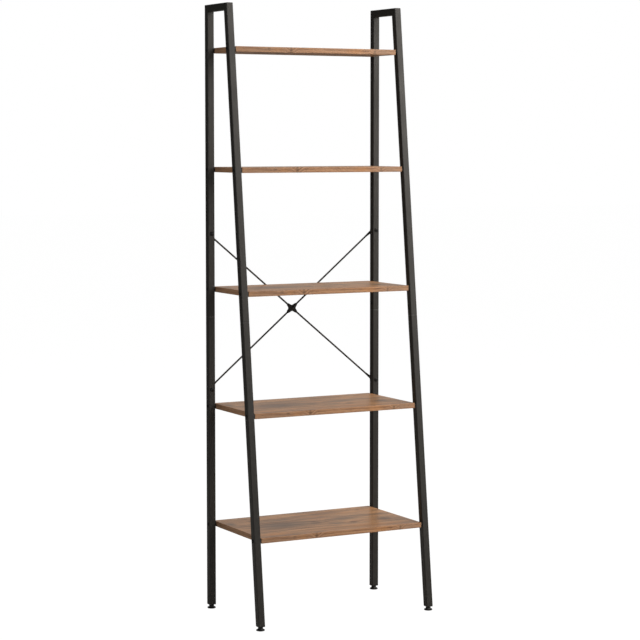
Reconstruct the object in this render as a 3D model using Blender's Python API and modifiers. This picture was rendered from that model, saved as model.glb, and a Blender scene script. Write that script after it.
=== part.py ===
"""Five-tier ladder shelf: two steel side frames, five boards and an X brace.

Metres, +Z up. The front faces -Y, and the origin is on the floor, at the middle of the
shelf's box. The back legs are vertical, and the front legs lean back towards the top.
"""
import math

import bmesh
import bpy
from mathutils import Matrix, Vector

# ---- driving dimensions -------------------------------------------------------------------
FRAME_WIDTH = 0.556            # over the outer faces of the two side frames
FRAME_HEIGHT = 1.720
DEPTH_AT_FLOOR = 0.337         # back face of the back leg to front face of the front leg
DEPTH_AT_TOP = 0.143

TUBE = 0.020                   # outer size of the square tube
TUBE_WALL = 0.0012
TUBE_CORNER = 0.0018           # outer corner radius of the tube
GAP = 0.0003                   # clearance between neighbouring pieces

LEG_END = 0.013                # height of the tubes' open lower ends
SEAM = 0.840                   # height of the joint between the two leg sections
SLEEVE_LENGTH = 0.080
SLEEVE_WALL = 0.0015
JOINT_SCREW_RISE = 0.0185      # joint screw above the seam

BOARD_TOPS = (0.2515, 0.591, 0.9255, 1.2655, 1.600)   # heights of the board tops
BOARD_THICKNESS = 0.015
BOARD_END_GAP = 0.003          # board end to the inner face of the leg
BOARD_SETBACK = 0.0025         # board front edge behind the front face of the leg
BOARD_EDGE = 0.0004
PILOT_DEPTH = 0.034            # depth of a screw hole in a board's end

BRACE_HEIGHTS = (0.632, 1.076) # brace bolts in the back legs
ROD_DIAMETER = 0.005
ROD_AXIS_BEHIND = 0.0035       # brace rod axis behind the back face of the legs
EYE_DIAMETER = 0.015
EYE_THICKNESS = 0.004
EYE_ROD_END = 0.0062           # bolt axis to the welded end of the rod
SPIGOT_DIAMETER = 0.004        # reduced rod end that enters the hub
SPIGOT_LENGTH = 0.006
HUB_TIP = 0.0185               # hub centre to the end of an arm
HUB_TIP_WIDTH = 0.0082
HUB_WAIST_SIDE = 0.0108        # hub centre to its edge between two arms
HUB_WAIST_TOP = 0.0083
HUB_THICKNESS = 0.0090
HUB_EDGE = 0.0008
HUB_SIDE_STEPS = 5             # straight steps along each hollow side of the star

SHELF_SCREW = {"head": 0.0100, "height": 0.0024, "shank": 0.0048, "length": 0.0560, "key": 0.0040}
JOINT_SCREW = {"head": 0.0090, "height": 0.0018, "shank": 0.0050, "length": 0.0090, "key": 0.0032}
BRACE_BOLT = {"head": 0.0120, "height": 0.0034, "shank": 0.0060, "length": 0.0268, "key": 0.0040}
SCREW_SIDES = 12
KEY_DEPTH_SHARE = 0.6          # depth of the hexagon socket, as a share of the head

PLUG_HEIGHT = 0.019            # part of the plug inside the tube
FLANGE = 0.0016                # plug's rim under the tube end
STUD_DIAMETER = 0.008
STUD_TOP = 0.045
COLLAR_DIAMETER = 0.014
PAD_DIAMETER = 0.0235
PAD_EDGE = 0.0030              # height of the pad's upright edge
CONE_TOP = 0.0066
FOOT_SIDES = 20

# ---- values worked out from them ----------------------------------------------------------
SLOPE = (DEPTH_AT_FLOOR - DEPTH_AT_TOP) / FRAME_HEIGHT
RAKE = math.atan(SLOPE)                       # lean of the front legs
RAKED_TUBE = TUBE / math.cos(RAKE)            # depth of a front leg measured level
LEG_X = (FRAME_WIDTH - TUBE) / 2              # centre planes of the side frames
INNER_TUBE = TUBE - 2 * TUBE_WALL
INSERT = INNER_TUBE - 2 * GAP                 # outer size of what slides into the tube
SIDES = {"left": -1, "right": 1}

REAR_REACH = ROD_AXIS_BEHIND + ROD_DIAMETER / 2
FRONT_REACH = (DEPTH_AT_TOP + SLOPE * (FRAME_HEIGHT - LEG_END)
               - RAKED_TUBE / 2 + PAD_DIAMETER / 2)
REAR = (FRONT_REACH - REAR_REACH) / 2         # back face of the back legs
BACK_LEG_Y = REAR - TUBE / 2


def front_face_y(z):
    """Front face of the front legs at height z."""
    return REAR - DEPTH_AT_TOP - SLOPE * (FRAME_HEIGHT - z)


def front_leg_y(z):
    """Axis of the front legs at height z."""
    return front_face_y(z) + RAKED_TUBE / 2


# ---- scene, collections and materials -----------------------------------------------------
for old in list(bpy.data.objects):
    bpy.data.objects.remove(old, do_unlink=True)

PARTS = bpy.data.collections.new("ladder_shelf")
CUTTERS = bpy.data.collections.new("ladder_shelf_cutters")
for group in (PARTS, CUTTERS):
    bpy.context.scene.collection.children.link(group)


def make_material(name, color, roughness, metallic):
    """Principled material from a linear colour."""
    material = bpy.data.materials.new(name)
    material.use_nodes = True
    shader = material.node_tree.nodes["Principled BSDF"]
    shader.inputs["Base Color"].default_value = (*color, 1.0)
    shader.inputs["Roughness"].default_value = roughness
    shader.inputs["Metallic"].default_value = metallic
    return material


POWDER_COAT = make_material("powder_coated_steel", (0.035, 0.032, 0.029), 0.45, 0.0)
WOOD = make_material("rustic_wood_board", (0.30, 0.19, 0.12), 0.60, 0.0)
BLACK_STEEL = make_material("blackened_steel_fastener", (0.015, 0.014, 0.013), 0.40, 0.8)
BARE_STEEL = make_material("zinc_plated_steel", (0.45, 0.45, 0.46), 0.35, 1.0)
BLACK_PLASTIC = make_material("moulded_black_plastic", (0.010, 0.010, 0.010), 0.55, 0.0)


def add_part(name, mesh, material, matrix=None):
    """A visible piece of the shelf."""
    piece = bpy.data.objects.new(name, mesh)
    PARTS.objects.link(piece)
    if not mesh.materials:
        mesh.materials.append(material)
    if matrix is not None:
        piece.matrix_world = matrix
    return piece


def add_cutter(name, mesh, matrix=None):
    """A shape that only cuts other pieces."""
    piece = bpy.data.objects.new(name, mesh)
    CUTTERS.objects.link(piece)
    piece.hide_render = True
    piece.display_type = "WIRE"
    if matrix is not None:
        piece.matrix_world = matrix
    return piece


def to_mesh(bm, name):
    """Close the bmesh into a mesh with outward faces."""
    bmesh.ops.recalc_face_normals(bm, faces=bm.faces)
    mesh = bpy.data.meshes.new(name)
    bm.to_mesh(mesh)
    bm.free()
    return mesh


def boolean(piece, tool, operation="DIFFERENCE"):
    """Cut or join a piece with another shape."""
    modifier = piece.modifiers.new(operation.lower() + "_" + tool.name, "BOOLEAN")
    modifier.operation = operation
    modifier.solver = "EXACT"
    modifier.object = tool


def settled(piece):
    """The piece's shape with its modifiers worked in, as a plain mesh."""
    depsgraph = bpy.context.evaluated_depsgraph_get()
    return bpy.data.meshes.new_from_object(piece.evaluated_get(depsgraph))


# ---- basic shapes -------------------------------------------------------------------------
def bar(size_x, size_y, length, corner, steps=2):
    """Square bar along Z, centred, with rounded long corners."""
    bm = bmesh.new()
    bmesh.ops.create_cube(bm, size=1.0)
    bmesh.ops.scale(bm, vec=(size_x, size_y, length), verts=bm.verts)
    if corner > 0:
        long_edges = [e for e in bm.edges if abs(e.verts[0].co.z - e.verts[1].co.z) > length / 2]
        bmesh.ops.bevel(bm, geom=long_edges, offset=corner, segments=steps, profile=0.5,
                        affect="EDGES")
    return bm


def trim(bm, point, normal):
    """Cut off what lies beyond a plane, and close the cut."""
    everything = bm.verts[:] + bm.edges[:] + bm.faces[:]
    bmesh.ops.bisect_plane(bm, geom=everything, dist=1e-6, plane_co=point, plane_no=normal,
                           clear_outer=True)
    rim = [e for e in bm.edges if e.is_boundary]
    bmesh.ops.holes_fill(bm, edges=rim)


def cylinders(name, holes, sides=SCREW_SIDES):
    """One cutter of separate cylinders: (centre, direction, diameter, length) each."""
    bm = bmesh.new()
    for centre, direction, diameter, length in holes:
        turn = Vector(direction).to_track_quat("Z", "Y").to_matrix().to_4x4()
        bmesh.ops.create_cone(bm, cap_ends=True, segments=sides, radius1=diameter / 2,
                              radius2=diameter / 2, depth=length,
                              matrix=Matrix.Translation(centre) @ turn)
    return add_cutter(name, to_mesh(bm, name))


def turned(name, profile, sides):
    """Turned shape: (radius, height) points from the top of the axis down to its foot."""
    bm = bmesh.new()
    points = [bm.verts.new((radius, 0.0, height)) for radius, height in profile]
    for upper, lower in zip(points, points[1:]):
        bm.edges.new((upper, lower))
    mesh = bpy.data.meshes.new(name)
    bm.to_mesh(mesh)
    bm.free()
    blank = add_cutter(name + "_blank", mesh)
    screw = blank.modifiers.new("turn", "SCREW")
    screw.axis = "Z"
    screw.steps = sides
    screw.render_steps = sides
    screw.use_merge_vertices = True
    screw.merge_threshold = 0.00001
    result = settled(blank)
    bpy.data.objects.remove(blank, do_unlink=True)
    result.shade_smooth()
    result.set_sharp_from_angle(angle=math.radians(35))
    return result


def screw_mesh(name, spec):
    """Dome-headed screw: seat at the origin, head along +Z, with a hexagon socket."""
    head = spec["head"] / 2
    shank = spec["shank"] / 2
    profile = [
        (0.0, spec["height"]),
        (head * 0.62, spec["height"]),
        (head * 0.90, spec["height"] * 0.62),
        (head, spec["height"] * 0.15),
        (head, 0.0),
        (shank, 0.0),
        (shank, shank - spec["length"]),
        (shank * 0.5, -spec["length"]),
        (0.0, -spec["length"]),
    ]
    blank = add_cutter(name + "_body", turned(name, profile, SCREW_SIDES))
    depth = spec["height"] * KEY_DEPTH_SHARE
    bm = bmesh.new()
    bmesh.ops.create_cone(bm, cap_ends=True, segments=6, radius1=spec["key"] / math.sqrt(3),
                          radius2=spec["key"] / math.sqrt(3), depth=2 * depth,
                          matrix=Matrix.Translation((0, 0, spec["height"])))
    socket = add_cutter(name + "_socket", to_mesh(bm, name + "_socket"))
    boolean(blank, socket)
    result = settled(blank)
    for tool in (blank, socket):
        bpy.data.objects.remove(tool, do_unlink=True)
    return result


def facing(place, direction):
    """Matrix that puts a screw's seat at place, with its head towards direction."""
    turn = Vector(direction).to_track_quat("Z", "Y").to_matrix().to_4x4()
    return Matrix.Translation(place) @ turn


# ---- side frames --------------------------------------------------------------------------
def leg_frame(leg, z):
    """Point on a leg's axis at height z in the leg's own side plane, and its lean."""
    if leg == "back":
        return Vector((0.0, BACK_LEG_Y, z)), 0.0
    return Vector((0.0, front_leg_y(z), z)), RAKE


def along_leg(leg, x, z):
    """Matrix at height z on a leg's axis, with +Z up along the leg."""
    point, lean = leg_frame(leg, z)
    point.x = x
    return Matrix.Translation(point) @ Matrix.Rotation(-lean, 4, "X")


def leg_direction(leg):
    """Unit vector up along a leg."""
    lean = leg_frame(leg, 0.0)[1]
    return Vector((0.0, math.sin(lean), math.cos(lean)))


def mitre(leg):
    """Mitre plane at the top of a leg: a point on it, and its normal towards the leg."""
    inner_z = FRAME_HEIGHT - TUBE
    if leg == "back":
        outer = Vector((0.0, REAR, FRAME_HEIGHT))
        inner = Vector((0.0, REAR - TUBE, inner_z))
    else:
        outer = Vector((0.0, front_face_y(FRAME_HEIGHT), FRAME_HEIGHT))
        inner = Vector((0.0, front_face_y(inner_z) + RAKED_TUBE, inner_z))
    normal = (inner - outer).cross(Vector((1.0, 0.0, 0.0))).normalized()
    if normal.z > 0:
        normal.negate()
    return outer, normal


def tube_piece(name, x, matrix, length, cuts, holes):
    """Hollow square tube along the matrix's Z axis, trimmed by planes and drilled."""
    bm = bar(TUBE, TUBE, length, TUBE_CORNER)
    bm.transform(matrix)
    for point, normal in cuts:
        trim(bm, point + Vector((x, 0.0, 0.0)), normal)
    piece = add_part(name, to_mesh(bm, name), POWDER_COAT)
    void = bar(INNER_TUBE, INNER_TUBE, length + TUBE, TUBE_CORNER - TUBE_WALL, steps=1)
    boolean(piece, add_cutter(name + "_void", to_mesh(void, name + "_void"), matrix))
    if holes:
        boolean(piece, cylinders(name + "_holes", holes))
    return piece


def shelf_screw_points(leg, low, high):
    """Axis points of a leg where the boards between two heights are screwed on."""
    middles = [top - BOARD_THICKNESS / 2 for top in BOARD_TOPS]
    return [leg_frame(leg, z)[0] for z in middles if low < z < high]


def leg_holes(side, leg, low, high):
    """Holes of one leg section: shelf screws, brace bolts and the joint screw."""
    x = SIDES[side] * LEG_X
    across = (1.0, 0.0, 0.0)
    holes = []
    for point in shelf_screw_points(leg, low, high):
        holes.append(((x, point.y, point.z), across, SHELF_SCREW["shank"] + 2 * GAP, 2 * TUBE))
    if leg == "back":
        for z in BRACE_HEIGHTS:
            if low < z < high:
                holes.append(((x, BACK_LEG_Y, z), (0.0, 1.0, 0.0),
                              BRACE_BOLT["shank"] + 2 * GAP, 2 * TUBE))
    screw_z = SEAM + JOINT_SCREW_RISE
    if low < screw_z < high:
        point = leg_frame(leg, screw_z)[0]
        inner_wall = x - SIDES[side] * TUBE / 2
        holes.append(((inner_wall, point.y, point.z), across,
                      JOINT_SCREW["shank"] + 2 * GAP, TUBE / 2))
    return holes


def build_side_frame(side):
    """Four leg sections and the top bar of one side."""
    x = SIDES[side] * LEG_X
    down = Vector((0.0, 0.0, -1.0))
    for leg in ("back", "front"):
        along = leg_direction(leg)
        seam_point = leg_frame(leg, SEAM)[0]
        outer, to_leg = mitre(leg)
        sections = {
            "lower": (LEG_END, SEAM, [(leg_frame(leg, LEG_END)[0], down),
                                      (seam_point - along * GAP / 2, along)]),
            "upper": (SEAM, FRAME_HEIGHT, [(seam_point + along * GAP / 2, -along),
                                           (outer + to_leg * GAP / 2, -to_leg)]),
        }
        for section, (low, high, cuts) in sections.items():
            tube_piece(f"{section}_{leg}_leg_{side}", x, along_leg(leg, x, (low + high) / 2),
                       high - low + 3 * TUBE, cuts, leg_holes(side, leg, low, high))
    middle_y = (REAR + front_face_y(FRAME_HEIGHT)) / 2
    lying = (Matrix.Translation((x, middle_y, FRAME_HEIGHT - TUBE / 2))
             @ Matrix.Rotation(math.pi / 2, 4, "X"))
    cuts = []
    for leg in ("back", "front"):
        outer, to_leg = mitre(leg)
        cuts.append((outer - to_leg * GAP / 2, to_leg))
    tube_piece(f"top_bar_{side}", x, lying, DEPTH_AT_TOP + 3 * TUBE, cuts, [])


def build_joint(side, leg, screw):
    """Inner sleeve across a leg's seam, and the screw that holds it."""
    x = SIDES[side] * LEG_X
    matrix = along_leg(leg, x, SEAM)
    name = f"joint_sleeve_{leg}_{side}"
    sleeve = add_part(name, to_mesh(bar(INSERT, INSERT, SLEEVE_LENGTH, GAP, steps=1), name),
                      BARE_STEEL, matrix)
    inside = INSERT - 2 * SLEEVE_WALL
    void = bar(inside, inside, SLEEVE_LENGTH + TUBE, 0.0)
    boolean(sleeve, add_cutter(name + "_void", to_mesh(void, name + "_void"), matrix))
    point = leg_frame(leg, SEAM + JOINT_SCREW_RISE)[0]
    inner_face = x - SIDES[side] * TUBE / 2
    hole = ((inner_face, point.y, point.z), (1.0, 0.0, 0.0), JOINT_SCREW["shank"] + 2 * GAP,
            TUBE / 2)
    boolean(sleeve, cylinders(name + "_hole", [hole]))
    seat = (inner_face - SIDES[side] * GAP, point.y, point.z)
    add_part(f"joint_screw_{leg}_{side}", screw, BLACK_STEEL,
             facing(seat, (-SIDES[side], 0.0, 0.0)))


# ---- feet ---------------------------------------------------------------------------------
def build_plug(side, leg):
    """Plastic insert in the end of a leg, with an upright hole for the foot's stud."""
    x = SIDES[side] * LEG_X
    name = f"leg_plug_{leg}_{side}"
    end_point, lean = leg_frame(leg, LEG_END)
    end_point.x = x
    bm = bar(INSERT, INSERT, 4 * PLUG_HEIGHT, GAP, steps=1)
    bm.transform(along_leg(leg, x, LEG_END))
    up = Vector((0.0, 0.0, 1.0))
    trim(bm, end_point + up * PLUG_HEIGHT, up)
    trim(bm, end_point - up * (GAP + FLANGE / 2), -up)
    plug = add_part(name, to_mesh(bm, name), BLACK_PLASTIC)
    rim = bar(TUBE, TUBE / math.cos(lean), FLANGE, TUBE_CORNER)
    place = Matrix.Translation(end_point - up * (GAP + FLANGE / 2))
    boolean(plug, add_cutter(name + "_rim", to_mesh(rim, name + "_rim"), place), "UNION")
    hole = (end_point, up, STUD_DIAMETER + 2 * GAP, 4 * PLUG_HEIGHT)
    boolean(plug, cylinders(name + "_hole", [hole], FOOT_SIDES))


def foot_mesh():
    """Stud, collar and pad of a levelling foot, standing on the floor at the origin."""
    stud = STUD_DIAMETER / 2
    collar = COLLAR_DIAMETER / 2
    pad = PAD_DIAMETER / 2
    collar_top = LEG_END - 2 * GAP - FLANGE
    chamfer = 0.0008
    profile = [
        (0.0, STUD_TOP),
        (stud - chamfer, STUD_TOP),
        (stud, STUD_TOP - chamfer),
        (stud, collar_top),
        (collar, collar_top),
        (collar, CONE_TOP),
        (pad - 2 * chamfer, PAD_EDGE + chamfer),
        (pad, PAD_EDGE),
        (pad, chamfer),
        (pad - chamfer, 0.0),
        (0.0, 0.0),
    ]
    return turned("levelling_foot", profile, FOOT_SIDES)


# ---- boards -------------------------------------------------------------------------------
def build_board(number, top):
    """One board between the side frames, with screw holes in both ends."""
    name = f"shelf_board_{number}"
    middle_z = top - BOARD_THICKNESS / 2
    front = front_face_y(middle_z) + BOARD_SETBACK
    width = FRAME_WIDTH - 2 * (TUBE + BOARD_END_GAP)
    bm = bmesh.new()
    bmesh.ops.create_cube(bm, size=1.0)
    bmesh.ops.scale(bm, vec=(width, REAR - front, BOARD_THICKNESS), verts=bm.verts)
    bmesh.ops.bevel(bm, geom=bm.edges[:], offset=BOARD_EDGE, segments=1, affect="EDGES")
    bmesh.ops.translate(bm, vec=(0.0, (REAR + front) / 2, middle_z), verts=bm.verts)
    board = add_part(name, to_mesh(bm, name), WOOD)
    holes = []
    for side in SIDES.values():
        for leg in ("back", "front"):
            y = leg_frame(leg, middle_z)[0].y
            holes.append(((side * width / 2, y, middle_z), (1.0, 0.0, 0.0),
                          SHELF_SCREW["shank"] + 2 * GAP, 2 * PILOT_DEPTH))
    boolean(board, cylinders(name + "_holes", holes))


def place_shelf_screws(screw):
    """Screws through the legs into the board ends, heads on the outer faces."""
    for number, top in enumerate(BOARD_TOPS, start=1):
        z = top - BOARD_THICKNESS / 2
        for side, sign in SIDES.items():
            for leg in ("back", "front"):
                seat = (sign * (FRAME_WIDTH / 2 + GAP), leg_frame(leg, z)[0].y, z)
                add_part(f"shelf_screw_{number}_{leg}_{side}", screw, BLACK_STEEL,
                         facing(seat, (sign, 0.0, 0.0)))


# ---- X brace ------------------------------------------------------------------------------
BRACE_Y = REAR + ROD_AXIS_BEHIND
BRACE_MIDDLE = Vector((0.0, BRACE_Y, sum(BRACE_HEIGHTS) / 2))
BRACE_CORNERS = {
    f"{level}_{side}": Vector((sign * LEG_X, BRACE_Y, z))
    for level, z in zip(("lower", "upper"), BRACE_HEIGHTS)
    for side, sign in SIDES.items()
}


def star_outline():
    """Points of the hub's star in the XZ plane: flat arm ends joined by hollow sides."""
    corner = BRACE_CORNERS["upper_right"] - BRACE_MIDDLE
    rise = math.atan2(corner.z, corner.x)
    arms = [rise, math.pi - rise, math.pi + rise, 2 * math.pi - rise]
    waists = [Vector((0, HUB_WAIST_TOP)), Vector((-HUB_WAIST_SIDE, 0)),
              Vector((0, -HUB_WAIST_TOP)), Vector((HUB_WAIST_SIDE, 0))]
    points = []
    for index, angle in enumerate(arms):
        following = arms[(index + 1) % len(arms)]
        start = arm_end_corner(angle, 1)
        finish = arm_end_corner(following, -1)
        waist = waists[index]
        control = waist * 2 - (start + finish) / 2
        points.append(arm_end_corner(angle, -1))
        for step in range(HUB_SIDE_STEPS):
            share = step / HUB_SIDE_STEPS
            points.append(start * (1 - share) ** 2 + control * (2 * share * (1 - share))
                          + finish * share ** 2)
    return points


def arm_end_corner(angle, hand):
    """Corner of an arm's flat end, on its left (+1) or right (-1) going outwards."""
    outwards = Vector((math.cos(angle), math.sin(angle)))
    sideways = Vector((-math.sin(angle), math.cos(angle)))
    return outwards * HUB_TIP + sideways * (hand * HUB_TIP_WIDTH / 2)


def build_hub():
    """Cast star that takes the four rods."""
    bm = bmesh.new()
    outline = [bm.verts.new((p.x, -HUB_THICKNESS / 2, p.y)) for p in star_outline()]
    face = bm.faces.new(outline)
    moved = bmesh.ops.extrude_face_region(bm, geom=[face])["geom"]
    bmesh.ops.translate(bm, vec=(0.0, HUB_THICKNESS, 0.0),
                        verts=[v for v in moved if isinstance(v, bmesh.types.BMVert)])
    rims = [e for e in bm.edges
            if abs(e.verts[0].co.y - e.verts[1].co.y) < GAP]
    bmesh.ops.bevel(bm, geom=rims, offset=HUB_EDGE, segments=1, affect="EDGES")
    hub = add_part("brace_hub", to_mesh(bm, "brace_hub"), BLACK_STEEL,
                   Matrix.Translation(BRACE_MIDDLE))
    sockets = []
    for corner in BRACE_CORNERS.values():
        outwards = (corner - BRACE_MIDDLE).normalized()
        sockets.append((BRACE_MIDDLE + outwards * HUB_TIP, outwards,
                        SPIGOT_DIAMETER + 2 * GAP, 2 * (SPIGOT_LENGTH + GAP)))
    boolean(hub, cylinders("brace_hub_sockets", sockets))


def build_rod(corner_name, corner):
    """Rod from the hub to a back leg, with a flat drilled eye at the leg."""
    name = f"brace_rod_{corner_name}"
    outwards = (corner - BRACE_MIDDLE).normalized()
    length = (corner - BRACE_MIDDLE).length - HUB_TIP - GAP - EYE_ROD_END
    rod = ROD_DIAMETER / 2
    spigot = SPIGOT_DIAMETER / 2
    profile = [(0.0, length), (rod, length), (rod, 0.0), (spigot, 0.0),
               (spigot, -SPIGOT_LENGTH), (0.0, -SPIGOT_LENGTH)]
    start = BRACE_MIDDLE + outwards * (HUB_TIP + GAP)
    turn = outwards.to_track_quat("Z", "Y").to_matrix().to_4x4()
    piece = add_part(name, turned(name, profile, SCREW_SIDES), POWDER_COAT,
                     Matrix.Translation(start) @ turn)
    eye_middle = Vector((corner.x, REAR + GAP + EYE_THICKNESS / 2, corner.z))
    backwards = (0.0, 1.0, 0.0)
    eye = cylinders(name + "_eye", [(eye_middle, backwards, EYE_DIAMETER, EYE_THICKNESS)],
                    FOOT_SIDES)
    boolean(piece, eye, "UNION")
    hole = (eye_middle, backwards, BRACE_BOLT["shank"] + 2 * GAP, 4 * EYE_THICKNESS)
    boolean(piece, cylinders(name + "_hole", [hole]))


def place_brace_bolts(bolt):
    """Bolts from the front of the back legs into the rods' eyes."""
    for corner_name, corner in BRACE_CORNERS.items():
        seat = (corner.x, REAR - TUBE - GAP, corner.z)
        add_part(f"brace_bolt_{corner_name}", bolt, BLACK_STEEL, facing(seat, (0.0, -1.0, 0.0)))


# ---- assembly -----------------------------------------------------------------------------
def build_shelf():
    """The whole shelf: side frames, joints, feet, boards, brace and their screws."""
    joint_screw = screw_mesh("joint_screw", JOINT_SCREW)
    foot = foot_mesh()
    for side in SIDES:
        build_side_frame(side)
        for leg in ("back", "front"):
            build_joint(side, leg, joint_screw)
            build_plug(side, leg)
            x = SIDES[side] * LEG_X
            y = leg_frame(leg, LEG_END)[0].y
            add_part(f"levelling_foot_{leg}_{side}", foot, BLACK_PLASTIC,
                     Matrix.Translation((x, y, 0.0)))
    for number, top in enumerate(BOARD_TOPS, start=1):
        build_board(number, top)
    place_shelf_screws(screw_mesh("shelf_screw", SHELF_SCREW))
    build_hub()
    for corner_name, corner in BRACE_CORNERS.items():
        build_rod(corner_name, corner)
    place_brace_bolts(screw_mesh("brace_bolt", BRACE_BOLT))


build_shelf()
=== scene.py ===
import math

import bmesh
import bpy
from mathutils import Matrix, Vector


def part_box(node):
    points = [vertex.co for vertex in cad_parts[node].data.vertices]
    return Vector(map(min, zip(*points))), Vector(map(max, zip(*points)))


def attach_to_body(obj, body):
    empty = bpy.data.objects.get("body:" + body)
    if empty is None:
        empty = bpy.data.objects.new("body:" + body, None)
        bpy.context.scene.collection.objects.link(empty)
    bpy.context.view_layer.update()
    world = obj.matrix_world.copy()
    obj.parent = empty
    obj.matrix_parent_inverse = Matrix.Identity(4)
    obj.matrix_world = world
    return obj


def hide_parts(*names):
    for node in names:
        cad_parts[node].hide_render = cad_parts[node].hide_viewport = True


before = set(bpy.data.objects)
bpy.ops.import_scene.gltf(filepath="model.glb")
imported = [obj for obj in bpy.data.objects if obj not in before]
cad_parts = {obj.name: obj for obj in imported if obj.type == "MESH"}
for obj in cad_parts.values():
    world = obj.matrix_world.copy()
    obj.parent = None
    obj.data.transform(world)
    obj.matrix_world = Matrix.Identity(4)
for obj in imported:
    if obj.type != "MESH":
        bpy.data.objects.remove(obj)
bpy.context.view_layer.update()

millimetre = 0.001


# camera and stage: white paper, softboxes at the right, little light from the left
studio = {
    "cameraPlace": (-2.7665, -5.1833, 1.3429),
    "cameraYaw": 28.11,          # degrees from +Y towards +X
    "cameraPitch": -4.355,
    "lens": 116.8,
    "shiftY": -0.035,
    "floorSize": 60.0,
    "floorColour": "#bab8b5",    # what the paper throws back on the shelf
    "floorSeen": "#4a4a49",      # its share of the light where it is looked at, and the glow
    "floorGlow": 0.99,           # that lifts it to white there
    "roomRight": 0.23,           # what the room gives from its right and from behind the shelf
    "roomBehind": 0.14,
    # name: degrees round from the front towards the right, degrees up, distance, size, watts, colour
    "softboxes": {
        "keySoftbox": (52, 46, 4.2, (2.6, 2.6), 98, "#fffaf4"),
        "sideSoftbox": (52, 12, 3.2, (2.4, 1.8), 32, "#fffaf4"),
        "frontSoftbox": (28, 27, 3.2, (1.8, 1.4), 26, "#fff8f0"),
        "leftSoftbox": (-60, 20, 3.2, (1.4, 1.4), 24, "#ffffff"),
        "overheadSoftbox": (180, 62, 4.0, (3.0, 2.4), 50, "#ffffff"),
    },
    "aim": (0.0, 0.0, 0.9),
}
smooth = {"interpolation_type": "SMOOTHSTEP"}


def linearColour(hexColour):
    channels = [int(hexColour[i:i + 2], 16) / 255 for i in (1, 3, 5)]
    return tuple(c / 12.92 if c <= 0.04045 else ((c + 0.055) / 1.055) ** 2.4 for c in channels) + (1.0,)


# adds one node; an input given as a socket is linked, any other value is set on the input
def addNode(tree, kind, inputs=None, **settings):
    made = tree.nodes.new(kind)
    for name, value in settings.items():
        setattr(made, name, value)
    for key, value in (inputs or {}).items():
        if isinstance(value, bpy.types.NodeSocket):
            tree.links.new(value, made.inputs[key])
        else:
            made.inputs[key].default_value = value
    return made


# shorthand for the commonest nodes: each adds one and returns its output
def maths(tree, operation, a, b=0.0):
    return addNode(tree, "ShaderNodeMath", {0: a, 1: b}, operation=operation).outputs[0]


def remap(tree, value, start, end, low, high, **settings):
    return addNode(tree, "ShaderNodeMapRange", {0: value, 1: start, 2: end, 3: low, 4: high},
                   **settings).outputs[0]


def noise(tree, place, scale, detail, roughness=0.5):
    return addNode(tree, "ShaderNodeTexNoise", {
        "Vector": place, "Scale": scale, "Detail": detail, "Roughness": roughness}).outputs["Fac"]


def stretched(tree, place, scale, location=(0.0, 0.0, 0.0)):
    return addNode(tree, "ShaderNodeMapping", {
        "Vector": place, "Location": location, "Scale": scale}).outputs[0]


# place in the object's own metres
def ownPlace(tree):
    return addNode(tree, "ShaderNodeTexCoord").outputs["Object"]


def lengthOf(tree, vector):
    return addNode(tree, "ShaderNodeVectorMath", {0: vector}, operation="LENGTH").outputs["Value"]


def mixValues(tree, share, one, other):
    return addNode(tree, "ShaderNodeMix", {0: share, 2: one, 3: other}, data_type="FLOAT").outputs[0]


def mixColours(tree, share, one, other):
    one, other = (linearColour(c) if isinstance(c, str) else c for c in (one, other))
    return addNode(tree, "ShaderNodeMix", {0: share, 6: one, 7: other}, data_type="RGBA").outputs[2]


def newMaterial(name, **shaderValues):
    material = bpy.data.materials.new(name)
    material.use_nodes = True
    shader = material.node_tree.nodes["Principled BSDF"]
    for socket, value in shaderValues.items():
        shader.inputs[socket.replace("_", " ")].default_value = value
    return material, material.node_tree, shader


# wires colour, roughness and a relief some millimetres deep to the shader
def dress(tree, shader, colour, rough, relief=None, strength=0.5, depth=0.0):
    tree.links.new(colour, shader.inputs["Base Color"])
    tree.links.new(rough, shader.inputs["Roughness"])
    if relief:
        bump = addNode(tree, "ShaderNodeBump", {
            "Height": relief, "Strength": strength, "Distance": depth * millimetre})
        tree.links.new(bump.outputs[0], shader.inputs["Normal"])


# roughness that follows a pattern, from some way below the finish's own value to some way above it
def roughFrom(tree, pattern, v, below, above, start=0.3, end=0.7):
    return remap(tree, pattern, start, end, v["roughness"] - below, v["roughness"] + above)


def makeCamera(scene):
    cameraData = bpy.data.cameras.new("camera")
    cameraData.lens = studio["lens"]
    cameraData.sensor_width = 36.0
    cameraData.shift_y = studio["shiftY"]
    camera = bpy.data.objects.new("camera", cameraData)
    camera.location = studio["cameraPlace"]
    camera.rotation_euler = (math.radians(90 + studio["cameraPitch"]), 0.0,
                             -math.radians(studio["cameraYaw"]))
    scene.collection.objects.link(camera)
    scene.camera = camera


# seen as plain white, but it lights the shelf only from the right and from behind
def makeRoom(scene):
    scene.world = bpy.data.worlds.new("studioRoom")
    scene.world.use_nodes = True
    tree = scene.world.node_tree
    tree.nodes.clear()
    direction = addNode(tree, "ShaderNodeTexCoord").outputs["Generated"]

    def glowFrom(side, start, end, strength):
        along = addNode(tree, "ShaderNodeVectorMath", {0: direction, 1: Vector(side).normalized()},
                        operation="DOT_PRODUCT").outputs["Value"]
        return remap(tree, along, start, end, 0.0, strength, **smooth)

    glow = maths(tree, "ADD", glowFrom((1, 0, 0), -0.2, 0.6, studio["roomRight"]),
                 glowFrom((0.3, 1, 0.05), 0.6, 1.0, studio["roomBehind"]))
    looked = addNode(tree, "ShaderNodeLightPath").outputs["Is Camera Ray"]
    light = addNode(tree, "ShaderNodeBackground", {
        "Color": (1.0, 1.0, 1.0, 1.0), "Strength": mixValues(tree, looked, glow, 1.0)})
    addNode(tree, "ShaderNodeOutputWorld", {"Surface": light.outputs[0]})


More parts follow.
